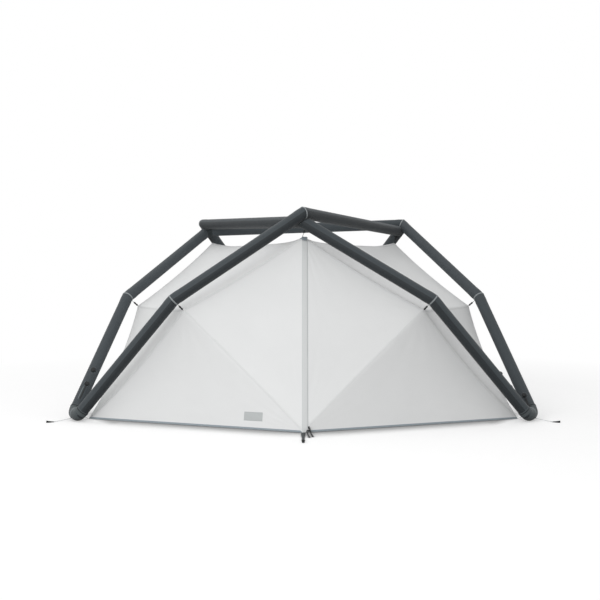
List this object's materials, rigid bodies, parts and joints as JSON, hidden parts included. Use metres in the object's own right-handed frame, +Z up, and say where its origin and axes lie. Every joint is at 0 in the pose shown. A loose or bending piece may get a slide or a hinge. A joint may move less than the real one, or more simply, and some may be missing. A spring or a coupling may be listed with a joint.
{
  "type": "inflatable tent",
  "caption": "Geodesic tent carried by woven inflatable air-tube arches, with a hung fly, zipped front door, inner tent, ground pegs and guys.",
  "frame": {"origin": "on the ground, at the tent's three-fold axis, on the underside of the groundsheet", "axes": "+Z up, -Y out through the door, +X to the right when facing the door"},
  "size_m": [3.1886, 3.4235, 1.3382],
  "materials": {
    "tube_cloth": "woven polyester sleeve, matt",
    "bladder_film": "translucent film",
    "boot_cloth": "coated woven cloth, matt",
    "valve_plastic": "moulded",
    "black_plastic": "moulded",
    "guy_cord": "braided cord",
    "peg_metal": "dark coated",
    "fly_cloth": "coated ripstop, slight sheen",
    "flap_cloth": "coated ripstop",
    "zip_nylon": "woven tape and coil",
    "pull_cord": "braided cord with a moulded end",
    "label_cloth": "plain woven label",
    "floor_cloth": "coated cloth",
    "inner_cloth": "fine mesh and thin cloth"
  },
  "bodies": {
    "tent": {"arch_left_sleeve": "tube_cloth", "arch_left_bladder": "bladder_film", "foot_boot_left": "boot_cloth", "inflation_valve_left": "valve_plastic", "lock_valve_left": "valve_plastic", "relief_valve_left": "black_plastic", "foot_guy_left": "guy_cord", "foot_peg_left": "peg_metal", "fly_side_left": "fly_cloth", "arch_right_sleeve": "tube_cloth", "arch_right_bladder": "bladder_film", "foot_boot_right": "boot_cloth", "inflation_valve_right": "valve_plastic", "lock_valve_right": "valve_plastic", "relief_valve_right": "black_plastic", "foot_guy_right": "guy_cord", "foot_peg_right": "peg_metal", "fly_side_right": "fly_cloth", "arch_back_sleeve": "tube_cloth", "arch_back_bladder": "bladder_film", "foot_boot_back": "boot_cloth", "inflation_valve_back": "valve_plastic", "lock_valve_back": "valve_plastic", "relief_valve_back": "black_plastic", "foot_guy_back": "guy_cord", "foot_peg_back": "peg_metal", "fly_side_back": "fly_cloth", "door_peg_front": "peg_metal", "door_peg_back_right": "peg_metal", "door_peg_back_left": "peg_metal", "fly_roof": "fly_cloth", "fly_wall_back_left": "fly_cloth", "fly_wall_back_right": "fly_cloth", "fly_front_left": "fly_cloth", "fly_front_right": "fly_cloth", "groundsheet": "floor_cloth", "inner_tub": "floor_cloth", "inner_canopy": "inner_cloth", "inner_wall_back_left": "inner_cloth", "inner_wall_back_right": "inner_cloth", "inner_front": "inner_cloth", "inner_door_roll": "inner_cloth"},
    "door_left_half": {"door_left": "fly_cloth", "storm_flap": "flap_cloth", "zip_chain_left": "zip_nylon", "label_patch": "label_cloth"},
    "door_right_half": {"door_right": "fly_cloth", "zip_chain_right": "zip_nylon"},
    "slider_upper": {"zip_slider_upper": "black_plastic", "zip_pull_upper": "pull_cord"},
    "slider_lower": {"zip_slider_lower": "black_plastic", "zip_pull_lower": "pull_cord"},
    "cap_left": {"inflation_cap_left": "black_plastic"},
    "knob_left": {"lock_knob_left": "black_plastic"},
    "cap_right": {"inflation_cap_right": "black_plastic"},
    "knob_right": {"lock_knob_right": "black_plastic"},
    "cap_back": {"inflation_cap_back": "black_plastic"},
    "knob_back": {"lock_knob_back": "black_plastic"}
  },
  "joints": [
    {"name": "door_left_fold", "type": "hinge", "parent": "tent", "child": "door_left_half", "pos_m": [-0.01125, -0.83436, 1.08354], "axis": [-0.6766, -0.2132, -0.7048], "range_deg": [0, 120]},
    {"name": "door_right_fold", "type": "hinge", "parent": "tent", "child": "door_right_half", "pos_m": [0.02945, -0.83212, 1.08354], "axis": [-0.6635, 0.2192, 0.7153], "range_deg": [0, 120]},
    {"name": "zip_upper_slide", "type": "slide", "parent": "door_right_half", "child": "slider_upper", "axis": [0, 0.3874, 0.9219], "range_m": [0, 1.12]},
    {"name": "zip_lower_slide", "type": "slide", "parent": "door_right_half", "child": "slider_lower", "axis": [0, 0.3874, 0.9219], "range_m": [0, 1.12]},
    {"name": "inflation_cap_left_lift", "type": "hinge", "parent": "tent", "child": "cap_left", "pos_m": [0.14383, 1.49048, 0.31052], "axis": [0.394, 0.8449, 0.3619], "range_deg": [0, 120]},
    {"name": "lock_knob_left_twist", "type": "hinge", "parent": "tent", "child": "knob_left", "pos_m": [-1.3492, -0.85025, 0.14495], "axis": [-0.474, 0.7366, 0.4825], "range_deg": [0, 90]},
    {"name": "inflation_cap_right_lift", "type": "hinge", "parent": "tent", "child": "cap_right", "pos_m": [-1.3627, -0.62068, 0.31052], "axis": [-0.9287, -0.0812, 0.3619], "range_deg": [0, 120]},
    {"name": "lock_knob_right_twist", "type": "hinge", "parent": "tent", "child": "knob_right", "pos_m": [1.41094, -0.74331, 0.14495], "axis": [-0.4009, -0.7788, 0.4825], "range_deg": [0, 90]},
    {"name": "inflation_cap_back_lift", "type": "hinge", "parent": "tent", "child": "cap_back", "pos_m": [1.21888, -0.86979, 0.31052], "axis": [0.5347, -0.7636, 0.3619], "range_deg": [0, 120]},
    {"name": "lock_knob_back_twist", "type": "hinge", "parent": "tent", "child": "knob_back", "pos_m": [-0.06174, 1.59356, 0.14495], "axis": [0.8749, 0.0422, 0.4825], "range_deg": [0, 90]}
  ],
  "couplings": [
    {"joint": "zip_lower_slide", "follows": "zip_upper_slide", "ratio": 1}
  ]
}
